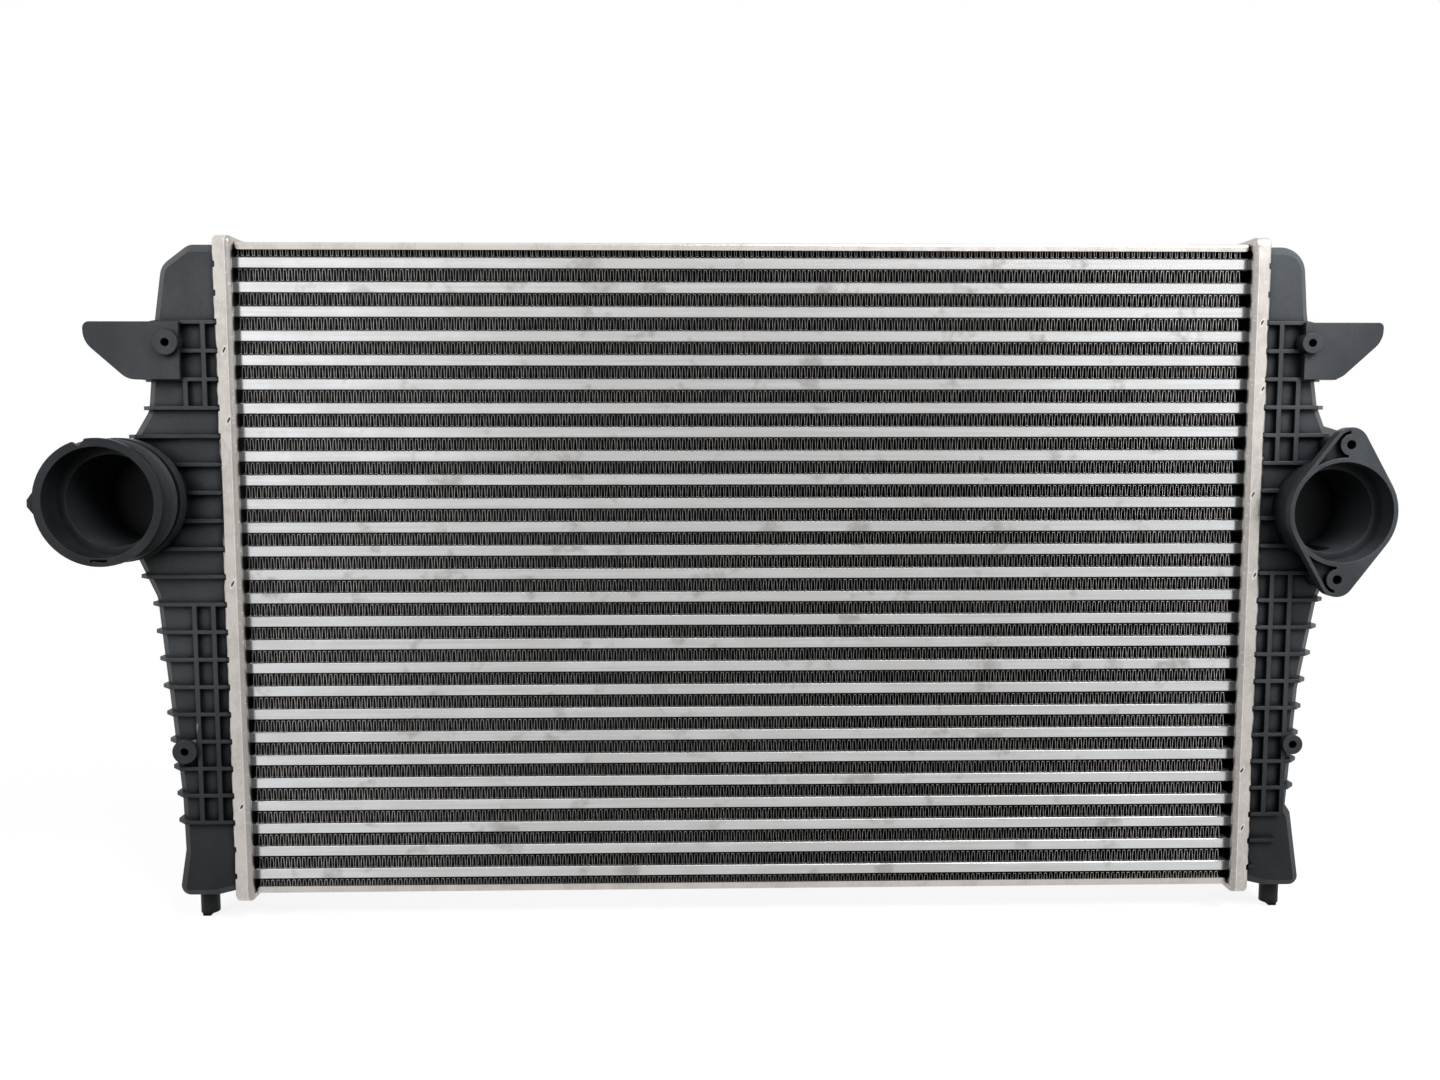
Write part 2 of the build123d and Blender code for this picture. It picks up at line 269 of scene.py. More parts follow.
def offMiddle(tree, z, node, above):
    # how far up or down a spot is from the middle of the nearest node in a row
    low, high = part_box(node)
    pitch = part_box(above)[0].z - low.z
    rows = calc(tree, "DIVIDE", calc(tree, "SUBTRACT", z, (low.z + high.z) / 2), pitch)
    return product(tree, calc(tree, "PINGPONG", absolute(tree, rows), 0.5), pitch)


def raised(tree, shader, height, strength, distance):
    bump = add(tree, "ShaderNodeBump", Strength=strength, Distance=distance, Height=height)
    tree.links.new(bump.outputs["Normal"], shader.inputs["Normal"])
    return bump


tubeMetal = {
    "clean": (0.90, 0.915, 0.925), "worn": (0.70, 0.69, 0.68), "stain": (0.42, 0.40, 0.38),
    "middleShadeFrom": 0.30, "middleShadeTo": 0.10,  # painted shade: the middle of the core is painted darker than the tube ends
    "rolledGrain": ((9, 300, 420), 2.0), "rolledShare": 0.4,  # streaks from rolling
    "cloudGrain": ((22, 60, 30), 4.0, 0.6), "cloudShare": 0.6,  # patches of wear
    "wornFrom": 0.36, "wornTo": 0.62, "wornShare": 0.5, "middleShadeWorn": 0.6,
    "smearGrain": ((36, 10, 38), 3.0, 0.62),  # handling marks
    "stainFrom": 0.585, "stainTo": 0.75, "stainShare": 0.65, "middleShadeStain": 0.03,
    "drop": (0.97, 0.97, 0.97), "dropSize": 0.9 * mm, "dropCore": 0.491 * mm,  # dried drops
    "dropCells": 55.0, "dropBare": 0.7, "dropShare": 0.7,  # cells per metre, the share with no drop
    "tubeGlintFrom": 0.75 * mm, "tubeGlintTo": 0.25 * mm, "tubeGlintShare": 0.9,  # painted highlight along the front's top and bottom edges
    "paintedShade": (0.03, 0.03, 0.032), "finShadeFrom": 15.9 * mm, "finShadeTo": 15.5 * mm,  # painted shade: near black and not metal between the fins
    "finShadeShine": 0.05, "roughFrom": 0.3, "roughTo": 0.7, "roughLow": 0.17, "roughHigh": 0.27,
    "dentGrain": ((45, 90, 70), 2.0), "dentShare": 0.06, "dentStrength": 0.16, "dentDepth": 0.5 * mm,
}


def makeTubeMetal():
    t = tubeMetal
    mat, tree, shader, place = surface("tubeMetal")
    x, y, z = axes(tree, place)
    # painted shade: 1 in the middle of the core, 0 towards the tube ends
    middle = remap(tree, absolute(tree, x), t["middleShadeFrom"], t["middleShadeTo"])
    rolled = grain(tree, place, *t["rolledGrain"])
    cloud = grain(tree, place, *t["cloudGrain"])
    smear = grain(tree, place, *t["smearGrain"])
    wear = blendTwo(tree, rolled, t["rolledShare"], cloud, t["cloudShare"])
    worn = remap(tree, wear, t["wornFrom"], t["wornTo"], 0.0, t["wornShare"])
    # the painted shade adds to the real wear and stains in the middle
    worn = blendTwo(tree, worn, 1.0, middle, t["middleShadeWorn"])
    smear = blendTwo(tree, smear, 1.0, middle, t["middleShadeStain"])
    stained = remap(tree, smear, t["stainFrom"], t["stainTo"], 0.0, t["stainShare"])
    color = blendColor(tree, worn, t["clean"], t["worn"])
    color = blendColor(tree, stained, color, t["stain"])
    cells = add(tree, "ShaderNodeTexVoronoi", Vector=place, Scale=t["dropCells"]).outputs
    size, core = t["dropSize"] * t["dropCells"], t["dropCore"] * t["dropCells"]
    drop = remap(tree, cells["Distance"], size, core)
    few = calc(tree, "GREATER_THAN", axes(tree, cells["Color"])["X"], t["dropBare"])
    color = blendColor(tree, product(tree, drop, few, t["dropShare"]), color, t["drop"])
    # painted highlight: a white band along each tube's top and bottom edge, in the dried drops' colour
    low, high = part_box("tube_01")
    half = (high.z - low.z) / 2
    off = offMiddle(tree, z, "tube_01", "tube_02")
    tubeGlint = remap(tree, off, half - t["tubeGlintFrom"], half - t["tubeGlintTo"], 0.0, t["tubeGlintShare"])
    color = blendColor(tree, tubeGlint, color, t["drop"])
    # painted shade: the faces between the fins are painted near black and lose their metal
    paintedShade = remap(tree, absolute(tree, y), t["finShadeFrom"], t["finShadeTo"])
    color = blendColor(tree, paintedShade, color, t["paintedShade"])
    tree.links.new(color, shader.inputs["Base Color"])
    tree.links.new(calc(tree, "SUBTRACT", 1.0, paintedShade), shader.inputs["Metallic"])
    shader.inputs["Specular IOR Level"].default_value = t["finShadeShine"]
    rough = remap(tree, cloud, t["roughFrom"], t["roughTo"], t["roughLow"], t["roughHigh"])
    tree.links.new(rough, shader.inputs["Roughness"])
    dents = blendTwo(tree, grain(tree, place, *t["dentGrain"]), 1.0, rolled, t["dentShare"])
    raised(tree, shader, dents, t["dentStrength"], t["dentDepth"])
    return mat


finMetal = {
    # painted shade: the strip is painted near black away from its front and back edges
    "edge": (0.76, 0.73, 0.70), "inside": (0.007, 0.007, 0.0075), "rough": 0.5, "shine": 0.05,
    "edgeFrom": 15.55 * mm, "edgeTo": 15.97 * mm,
    "patchGrain": ((120, 60, 120), 3.0), "patchFrom": 0.25, "patchTo": 0.7, "patchLevel": 0.45,
    "middleShadeLevel": 0.5, "middleShadeFrom": 0.30, "middleShadeTo": 0.08,  # painted shade: darker in the middle of the core
    "crownFrom": 4.38 * mm, "crownTo": 5.26 * mm, "crownShadeLevel": 0.25,  # painted shade near the tubes, distances from a strip's middle
    "bumpStrength": 0.2, "bumpDepth": 0.4 * mm,
}


def makeFinMetal():
    f = finMetal
    mat, tree, shader, place = surface("finMetal")
    x, y, z = axes(tree, place)
    # painted shade: only the front and back edges keep a metal colour
    edge = remap(tree, absolute(tree, y), f["edgeFrom"], f["edgeTo"])
    patch = grain(tree, place, *f["patchGrain"])
    patchy = remap(tree, patch, f["patchFrom"], f["patchTo"], f["patchLevel"], 1.0)
    # painted shade: the middle of the core is painted darker
    clean = remap(tree, absolute(tree, x), f["middleShadeTo"], f["middleShadeFrom"], f["middleShadeLevel"], 1.0)
    # painted shade: the fin edges are painted darker near the tubes
    off = offMiddle(tree, z, "fin_01", "fin_02")
    crown = remap(tree, off, f["crownFrom"], f["crownTo"], 1.0, f["crownShadeLevel"])
    bright = product(tree, edge, patchy, clean, crown)
    color = blendColor(tree, bright, f["inside"], f["edge"])
    tree.links.new(color, shader.inputs["Base Color"])
    tree.links.new(edge, shader.inputs["Metallic"])
    shader.inputs["Roughness"].default_value = f["rough"]
    shader.inputs["Specular IOR Level"].default_value = f["shine"]
    raised(tree, shader, patch, f["bumpStrength"], f["bumpDepth"])
    return mat


plateMetal = {
    "clean": (0.765, 0.72, 0.675), "worn": (0.635, 0.59, 0.55), "rough": 0.28,
    "cloudGrain": ((60, 60, 60), 4.0, 0.6), "cloudShare": 0.7,
    "fineGrain": ((900, 900, 260), 2.0), "fineShare": 0.3,
    "wornFrom": 0.42, "wornTo": 0.66,
    "knockGrain": ((130, 130, 95), 2.0, 0.5), "knockDepth": 0.8 * mm,
    "railKnocks": 0.15, "headerKnocks": 0.5,  # how strongly each shows them
}


def makePlateMetal(name, knocks):
    # returns the material's parts too, for what a header adds to them
    p = plateMetal
    mat, tree, shader, place = surface(name)
    cloud = grain(tree, place, *p["cloudGrain"])
    fine = grain(tree, place, *p["fineGrain"])
    wear = blendTwo(tree, cloud, p["cloudShare"], fine, p["fineShare"])
    color = blendColor(tree, remap(tree, wear, p["wornFrom"], p["wornTo"]), p["clean"], p["worn"])
    tree.links.new(color, shader.inputs["Base Color"])
    shader.inputs["Metallic"].default_value = 1.0
    shader.inputs["Roughness"].default_value = p["rough"]
    raised(tree, shader, grain(tree, place, *p["knockGrain"]), knocks, p["knockDepth"])
    return mat, tree, shader, place, color


headerMarks = {
    # painted shade: the bend is painted darker
    "bend": (0.3175, 0.295, 0.275), "bendShade": 0.62, "bendFrom": 311.7 * mm, "bendTo": 311.1 * mm,
    # painted highlight: a thin white line painted beside the pressed groove; its colour also serves the
    # spots and burrs
    "line": (0.97, 0.96, 0.95), "glintAt": 312.0 * mm, "glintHalf": 0.35 * mm, "glintCore": 0.14 * mm,
    "spotGrain": ((420, 420, 420), 3.0, 0.7), "spotFrom": 0.56, "spotTo": 0.72, "spotShare": 0.5,
    "nick": (0.09, 0.08, 0.075), "nickHalf": (0.75 * mm, 1.8 * mm), "nickLean": 0.4,
    "nicks": [(314.7, 357.1), (316.8, 317.1), (319.0, 277.3), (313.2, 252.1), (316.3, 202.3),
              (312.9, 78.5), (314.3, 40.9),
              (-314.0, 340.4), (-312.8, 298.6), (-314.0, 199.1), (-313.6, 59.7)],  # X and Z, mm
    "nickFront": -20 * mm, "farAway": 99.0, "ragged": 1.6,
    "nickFrom": 1.1, "nickTo": 0.7, "burrFrom": 2.1, "burrTo": 1.3, "burrShare": 0.6,  # in nick sizes
    "paintedShade": (0.03, 0.03, 0.032), "innerShadeDeep": 21.8 * mm, "innerShadeEnd": 20.2 * mm,  # painted shade on the inner face, behind the front edge
    "innerShadeWide": 310.7 * mm, "innerShadeLow": 3 * mm, "innerShadeHigh": 404 * mm,
}


def nickDistance(tree, x, y, z):
    # how far a spot on the front wall is from the nearest nick, 1 at the nick's edge
    h = headerMarks
    wide, tall = h["nickHalf"]
    lean = h["nickLean"]
    upright = calc(tree, "SUBTRACT", x, product(tree, z, lean))
    leaned = add(tree, "ShaderNodeCombineXYZ", X=upright, Z=z).outputs[0]
    nearest = h["farAway"]
    for across, up in h["nicks"]:
        middle = ((across - up * lean) * mm, 0.0, up * mm)
        away = vector(tree, "SUBTRACT", leaned, middle)
        scaled = vector(tree, "MULTIPLY", away, (1 / wide, 0.0, 1 / tall))
        length = add(tree, "ShaderNodeVectorMath", {"operation": "LENGTH"}, i0=scaled).outputs["Value"]
        nearest = calc(tree, "MINIMUM", length, nearest)
    behind = calc(tree, "GREATER_THAN", y, h["nickFront"])
    return calc(tree, "MAXIMUM", nearest, product(tree, behind, h["farAway"]))


def makeHeaderMetal():
    # its bend is painted darker as painted shade, the pressed line is a painted highlight, painted
    # shade darkens the inner face behind the front edge, and spots and nicks show
    h = headerMarks
    mat, tree, shader, place, color = makePlateMetal("headerMetal", plateMetal["headerKnocks"])
    x, y, z = axes(tree, place)
    wide = absolute(tree, x)
    # painted shade: the inner bend is painted darker
    bend = remap(tree, wide, h["bendFrom"], h["bendTo"], 0.0, h["bendShade"])
    color = blendColor(tree, bend, color, h["bend"])
    # painted highlight: a thin white line along the pressed groove
    off = absolute(tree, calc(tree, "SUBTRACT", wide, h["glintAt"]))
    color = blendColor(tree, remap(tree, off, h["glintHalf"], h["glintCore"]), color, h["line"])
    spots = grain(tree, place, *h["spotGrain"])
    spotted = remap(tree, spots, h["spotFrom"], h["spotTo"], 0.0, h["spotShare"])
    color = blendColor(tree, spotted, color, h["line"])
    ragged = product(tree, calc(tree, "SUBTRACT", spots, 0.5), h["ragged"])
    apart = calc(tree, "ADD", nickDistance(tree, x, y, z), ragged)
    burr = remap(tree, apart, h["burrFrom"], h["burrTo"], 0.0, h["burrShare"])
    color = blendColor(tree, burr, color, h["line"])
    color = blendColor(tree, remap(tree, apart, h["nickFrom"], h["nickTo"]), color, h["nick"])
    # painted shade: the inner face between the tubes, behind the front edge, is painted near black
    deep = remap(tree, absolute(tree, y), h["innerShadeDeep"], h["innerShadeEnd"])
    near = calc(tree, "LESS_THAN", wide, h["innerShadeWide"])
    low = calc(tree, "GREATER_THAN", z, h["innerShadeLow"])
    high = calc(tree, "LESS_THAN", z, h["innerShadeHigh"])
    color = blendColor(tree, product(tree, deep, near, low, high), color, h["paintedShade"])
    tree.links.new(color, shader.inputs["Base Color"])
    return mat


tankPlastic = {
    "dark": (0.010, 0.012, 0.014), "light": (0.021, 0.024, 0.027), "shine": 0.42,
    "flowGrain": ((30, 30, 14), 4.0, 0.6), "flowShare": 0.6,  # fibre swirl left by the moulding
    "fibreGrain": ((700, 700, 700), 3.0, 0.7), "fibreShare": 0.4,
    "lightFrom": 0.38, "lightTo": 0.66, "fibreStrength": 0.12, "fibreDepth": 0.3 * mm,
    "roughFrom": 0.3, "roughTo": 0.7, "roughLow": 0.36, "roughHigh": 0.52, "edge": 0.8 * mm,
    "hollowShadeReach": 14 * mm, "hollowShadeFrom": 0.30, "hollowShadeTo": 0.92, "hollowShadeLevel": 0.2,  # how dark the painted shade in its hollows goes
    "lowShadeFrom": 0.0, "lowShadeTo": 0.2, "lowShadeLevel": 0.5,  # painted shade: darker towards the bottom
    "mouthFrom": -36 * mm, "mouthTo": -50.4 * mm, "mouthShade": 0.4,  # and painted shade on the left spigot's mouth
    "scuff": (0.12, 0.12, 0.115), "scuffAt": (-0.3407, -0.0226, 0.1063), "scuffLean": 0.21,
    "scuffDeep": 1.2 * mm, "scuffWide": (1.3 * mm, 0.7 * mm), "scuffTall": (6.6 * mm, 4.95 * mm),
}


def scuffMark(tree, place):
    # a pale scrape on the left tank's front, with soft ends
    t = tankPlastic
    x, y, z = axes(tree, vector(tree, "SUBTRACT", place, t["scuffAt"]))
    leaning = calc(tree, "SUBTRACT", x, product(tree, z, t["scuffLean"]))
    across = remap(tree, absolute(tree, leaning), *t["scuffWide"])
    along = remap(tree, absolute(tree, z), *t["scuffTall"])
    front = calc(tree, "LESS_THAN", absolute(tree, y), t["scuffDeep"])
    return product(tree, across, along, front)


def makeTankPlastic():
    t = tankPlastic
    mat, tree, shader, place = surface("tankPlastic")
    flow = grain(tree, place, *t["flowGrain"])
    fibre = grain(tree, place, *t["fibreGrain"])
    mottle = blendTwo(tree, flow, t["flowShare"], fibre, t["fibreShare"])
    color = blendColor(tree, remap(tree, mottle, t["lightFrom"], t["lightTo"]), t["dark"], t["light"])
    color = blendColor(tree, scuffMark(tree, place), color, t["scuff"])
    x, y, z = axes(tree, place)
    # painted shade: occlusion darkens the colour in hollows
    hollowShade = add(tree, "ShaderNodeAmbientOcclusion", {"samples": 8}, Distance=t["hollowShadeReach"]).outputs["AO"]
    hollowShade = remap(tree, hollowShade, t["hollowShadeFrom"], t["hollowShadeTo"], t["hollowShadeLevel"], 1.0)
    # painted shade: darker towards the bottom
    low = remap(tree, z, t["lowShadeFrom"], t["lowShadeTo"], t["lowShadeLevel"], 1.0)
    # painted shade on the left spigot's mouth
    left = calc(tree, "LESS_THAN", x, 0.0)
    mouth = product(tree, left, remap(tree, y, t["mouthFrom"], t["mouthTo"], 0.0, t["mouthShade"]))
    # the painted shades darken both the colour and the shine
    level = product(tree, hollowShade, low, calc(tree, "SUBTRACT", 1.0, mouth))
    color = blendColor(tree, level, (0.0, 0.0, 0.0), color)
    tree.links.new(color, shader.inputs["Base Color"])
    rough = remap(tree, flow, t["roughFrom"], t["roughTo"], t["roughLow"], t["roughHigh"])
    tree.links.new(rough, shader.inputs["Roughness"])
    tree.links.new(product(tree, level, t["shine"]), shader.inputs["Specular IOR Level"])
    bump = raised(tree, shader, fibre, t["fibreStrength"], t["fibreDepth"])
    soft = add(tree, "ShaderNodeBevel", {"samples": 6}, Radius=t["edge"])
    tree.links.new(soft.outputs[0], bump.inputs["Normal"])
    return mat


gasketRubber = {
    "dark": (0.012, 0.012, 0.012), "light": (0.03, 0.03, 0.03), "rough": 0.8,
    "grain": ((500, 500, 500), 3.0), "strength": 0.2, "depth": 0.3 * mm,
}


def makeRubber():
    g = gasketRubber
    mat, tree, shader, place = surface("gasketRubber")
    fine = grain(tree, place, *g["grain"])
    color = blendColor(tree, fine, g["dark"], g["light"])
    tree.links.new(color, shader.inputs["Base Color"])
    shader.inputs["Roughness"].default_value = g["rough"]
    raised(tree, shader, fine, g["strength"], g["depth"])
    return mat


tubeSkin = makeTubeMetal()
finSkin = makeFinMetal()
railSkin = makePlateMetal("railMetal", plateMetal["railKnocks"])[0]
headerSkin = makeHeaderMetal()
tankSkin = makeTankPlastic()
gasketSkin = makeRubber()


def dress(obj, mat):
    obj.data.materials.clear()
    obj.data.materials.append(mat)


for name, obj in nodes.items():
    if name.startswith("tube_"):
        dress(obj, tubeSkin)
    elif name.startswith("tank_gaskets"):
        dress(obj, gasketSkin)
    elif name.startswith("tank_"):
        dress(obj, tankSkin)
    elif name.startswith("header_"):
        dress(obj, headerSkin)
    elif name.startswith("side_"):
        dress(obj, railSkin)
    else:
        dress(obj, finSkin)
print("materials on", len(nodes), "nodes")


# fin strips

finStrip = {
    "waves": 183, "steps": 8,  # steps in one wave
    "stretches": 3,  # straight stretches of a leg between front and back
    "sheet": 0.26 * mm,
    "crown": 2.0,  # over 1 flattens the crests
    "upright": 0.15,  # draws each leg together, in half waves
    "longer": 10.6 * mm,  # than its node, less the swing and the wander
    "swing": 3.4 * mm,  # how far the legs zigzag on their way
    "wander": 0.6 * mm, "wanderScale": 420.0,  # small bends along the strip, in waves per metre
    "weld": 0.001 * mm,
}


def socketOf(tree, name):
    return next(s for s in tree.interface.items_tree if s.name == name).identifier


def upDown(tree, phase):
    # a triangle wave between -0.5 and 0.5
    return calc(tree, "SUBTRACT", calc(tree, "PINGPONG", phase, 1.0), 0.5)


def newTree(name, inputs):
    # an empty geometry tree with these inputs and a mesh as its output
    tree = bpy.data.node_groups.new(name, "GeometryNodeTree")
    for given, kind in inputs.items():
        tree.interface.new_socket(name=given, in_out="INPUT", socket_type="NodeSocket" + kind)
    tree.interface.new_socket(name="Mesh", in_out="OUTPUT", socket_type="NodeSocketGeometry")
    return tree, tree.nodes.new("NodeGroupInput").outputs


def endTree(tree, geometry, material):
    # real geometry in one material, as the tree's output
    real = add(tree, "GeometryNodeRealizeInstances", Geometry=geometry)
    painted = add(tree, "GeometryNodeSetMaterial", Geometry=real.outputs[0], Material=material)
    out = tree.nodes.new("NodeGroupOutput")
    tree.links.new(painted.outputs[0], out.inputs[0])


def finTree():
    f = finStrip
    tree, given = newTree("finWaves", {"Length": "Float", "Depth": "Float", "Height": "Float",
                                       "Waves": "Int", "Middle": "Vector", "Metal": "Material"})
    columns = calc(tree, "ADD", product(tree, given["Waves"], float(f["steps"])), 1.0)
    grid = add(tree, "GeometryNodeMeshGrid", Size_X=given["Length"], Size_Y=given["Depth"],
               Vertices_X=columns, Vertices_Y=f["stretches"] + 1)
    spot = tree.nodes.new("GeometryNodeInputPosition").outputs[0]
    x, y, _ = axes(tree, spot)
    share = calc(tree, "ADD", calc(tree, "DIVIDE", x, given["Length"]), 0.5)
    legs = product(tree, given["Waves"], 2.0)
    phase = product(tree, share, legs)
    crown = product(tree, upDown(tree, phase), f["crown"])
    rise = calc(tree, "MAXIMUM", calc(tree, "MINIMUM", crown, 0.5), -0.5)
    tall = calc(tree, "SUBTRACT", given["Height"], f["sheet"])
    level = calc(tree, "SUBTRACT", product(tree, rise, tall), f["sheet"] / 2)
    row = calc(tree, "ADD", calc(tree, "DIVIDE", y, given["Depth"]), 0.5)
    zigzag = product(tree, upDown(tree, product(tree, row, float(f["stretches"]))), f["swing"])
    seedSpot = vector(tree, "ADD", spot, given["Middle"])
    noise = add(tree, "ShaderNodeTexNoise", Vector=seedSpot, Scale=f["wanderScale"], Detail=1.0)
    drift = product(tree, calc(tree, "SUBTRACT", noise.outputs["Fac"], 0.5), f["wander"])
    inner = calc(tree, "SUBTRACT", given["Length"], f["swing"] + f["wander"])
    squarer = product(tree, calc(tree, "SINE", product(tree, phase, 2 * pi)), f["upright"])
    squarer = calc(tree, "DIVIDE", squarer, legs)
    drawn = calc(tree, "SUBTRACT", calc(tree, "ADD", share, squarer), 0.5)
    alongX = calc(tree, "ADD", product(tree, drawn, inner), calc(tree, "ADD", zigzag, drift))
    place = add(tree, "ShaderNodeCombineXYZ", X=alongX, Y=y, Z=level).outputs[0]
    moved = vector(tree, "ADD", place, given["Middle"])
    sheet = add(tree, "GeometryNodeSetPosition", Geometry=grid.outputs["Mesh"], Position=moved)
    sheet = sheet.outputs[0]
    thick = add(tree, "GeometryNodeExtrudeMesh", Mesh=sheet, Offset_Scale=f["sheet"],
                Individual=False).outputs["Mesh"]
    under = add(tree, "GeometryNodeFlipFaces", Mesh=sheet).outputs[0]
    both = tree.nodes.new("GeometryNodeJoinGeometry")
    tree.links.new(thick, both.inputs[0])
    tree.links.new(under, both.inputs[0])
    closed = add(tree, "GeometryNodeMergeByDistance", Geometry=both.outputs[0], Distance=f["weld"])
    endTree(tree, closed.outputs[0], given["Metal"])
    return tree


def grow(name, tree, values):
    # runs a tree once with these inputs, and returns the result as a plain mesh object
    seedMesh = bpy.data.meshes.new(name + "Seed")
    obj = bpy.data.objects.new(name, seedMesh)
    scene.collection.objects.link(obj)
    modifier = obj.modifiers.new("shape", "NODES")
    modifier.node_group = tree
    for key, value in values.items():
        modifier[socketOf(tree, key)] = value
    bpy.context.view_layer.update()
    shown = obj.evaluated_get(bpy.context.evaluated_depsgraph_get())
    mesh = bpy.data.meshes.new_from_object(shown)
    mesh.name = name
    obj.modifiers.remove(modifier)
    obj.data = mesh
    bpy.data.meshes.remove(seedMesh)
    return obj


def placeFins():
    tree = finTree()
    low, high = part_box("fin_01")
    size = high - low
    places = {}
    for name in nodes:
        if name.startswith("fin_"):
            low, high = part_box(name)
            places[name] = (low + high) / 2
    pitch = places["fin_02"].z - places["fin_01"].z
    places["outerTop"] = places["fin_26"] + Vector((0, 0, pitch))
    places["outerBottom"] = places["fin_01"] - Vector((0, 0, pitch))
    for name, middle in places.items():
        piece = grow("finStrip_" + name.removeprefix("fin_"), tree, {
            "Length": size.x + finStrip["longer"], "Depth": size.y, "Height": size.z,
            "Waves": finStrip["waves"], "Middle": middle, "Metal": finSkin})
        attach(piece, "root")
        if name in nodes:
            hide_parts(name)
    print("fin strips", len(places), "of", len(piece.data.polygons), "faces")


placeFins()


# header plates

tray = {  # heights are from the core's middle
    "inner": 308.5 * mm, "width": 11.5 * mm, "halfDepth": 24 * mm, "halfHeight": 205.5 * mm,
    "corner": 5 * mm, "bend": 3 * mm, "sheet": 2 * mm, "innerBend": 1 * mm, "flat": 5 * mm,
    "groove": 0.5 * mm,  # the line that the press leaves beside the bend
    "grooveFrom": 0.25 * mm, "grooveMiddle": 0.6 * mm, "grooveTo": 0.95 * mm,  # from the bend
    "crimpSheet": 1.5 * mm, "crimpBend": 2.2 * mm, "crimpReach": 4.5 * mm, "crimpBevel": 0.6 * mm,
    "notch": 3.4 * mm, "notchDepth": 2.1 * mm, "notchPitch": 17.1 * mm, "notchTop": 187.9 * mm,
    "notches": 23, "notchEdge": 0.35 * mm, "notchSpare": 0.1 * mm,
    "ragged": 0.28 * mm, "raggedWide": 1.6 * mm, "seed": 7,  # the crimped edge's unevenness
    "raggedAt": (0.36, 0.64), "endRaggedAt": (0.25, 0.5, 0.75),  # shares of a pitch, of an end wall
    "slots": 27, "weld": 0.001 * mm, "tiny": 0.0001 * mm,
}


def coreMiddle():
    # the height of the middle tube, which the header and side plates share
    low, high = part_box("tube_14")
    return (low.z + high.z) / 2


def arc(middle, radius, start, end, count):
    # points on an arc, angles in degrees
    points = []
    for i in range(count + 1):
        a = radians(start + (end - start) * i / count)
        points.append((middle[0] + radius * cos(a), middle[1] + radius * sin(a)))
    return points


def traySection():
    # pairs of distance from the inner face and depth in from the outer wall, round the sheet
    t = tray
    wide, bend, sheet = t["width"], t["bend"], t["sheet"]
    crimpBend, crimpInner = t["crimpBend"], t["width"] - t["crimpSheet"]
    line = [(0.0, t["flat"])]
    line += arc((bend, bend), bend, 180, 270, 6)
    line += [(bend + t["grooveFrom"], 0.0), (bend + t["grooveMiddle"], t["groove"])]
    line += [(bend + t["grooveTo"], 0.0)]
    line += arc((wide - crimpBend, crimpBend), crimpBend, 270, 360, 4)
    line += [(wide, t["crimpReach"]), (crimpInner, t["crimpReach"])]
    line += [(crimpInner, sheet + t["crimpBevel"]), (crimpInner - t["crimpBevel"], sheet)]
    line += [(sheet + t["innerBend"], sheet), (sheet, sheet + t["innerBend"]), (sheet, t["flat"])]
    return line


def notchStops(levels, reach):
    # levels along one wall, with 1 where the crimped edge is cut back and 0 where it isn't
    t = tray
    half, edge = t["notch"] / 2, t["notchEdge"]
    stops = []
    for level in levels:
        if abs(level) > reach - t["notch"]:
            continue
        stops += [(level - half - edge, 0.0), (level - half + edge, 1.0)]
        stops += [(level + half - edge, 1.0), (level + half + edge, 0.0)]
        stops += [(level + t["notchPitch"] * share, 0.0) for share in t["raggedAt"]]
    return sorted(stop for stop in stops if abs(stop[0]) < reach)


def trayPath(chance):
    # stations round the tray's wall: place, corner centre, whether it is cut back, how ragged it is
    t = tray
    y, z, r = t["halfDepth"] - t["corner"], t["halfHeight"] - t["corner"], t["corner"]
    levels = [t["notchTop"] - t["notchPitch"] * i for i in range(t["notches"])]
    stops = []
    for side in (-1, 1):  # up the front wall, then down the back
        wall = notchStops(levels, z)
        if side > 0:
            wall.reverse()
        for level, cut in wall:
            loose = chance.uniform(-1, 1) * t["ragged"] if cut == 0 else 0.0
            stops.append((side * t["halfDepth"], level, side * y, level, cut, loose))
        turn = (180, 90) if side < 0 else (0, -90)
        for py, pz in arc((side * y, -side * z), r, *turn, 6):
            stops.append((py, pz, side * y, -side * z, 0.0, 0.0))
        for share in t["endRaggedAt"]:
            across = side * y * (1 - 2 * share)
            loose = chance.uniform(-1, 1) * t["ragged"]
            stops.append((across, -side * t["halfHeight"], across, -side * z, 0.0, loose))
        turn = (90, 0) if side < 0 else (-90, -180)
        for py, pz in arc((-side * y, -side * z), r, *turn, 6):
            stops.append((py, pz, -side * y, -side * z, 0.0, 0.0))
    return stops


def bridge(mesh, ring, after):
    # faces between one ring of points and the next
    for i in range(len(ring)):
        k = (i + 1) % len(ring)
        mesh.faces.new((ring[i], ring[k], after[k], after[i]))


def meshFrom(name, mesh):
    data = bpy.data.meshes.new(name)
    mesh.to_mesh(data)
    mesh.free()
    return data


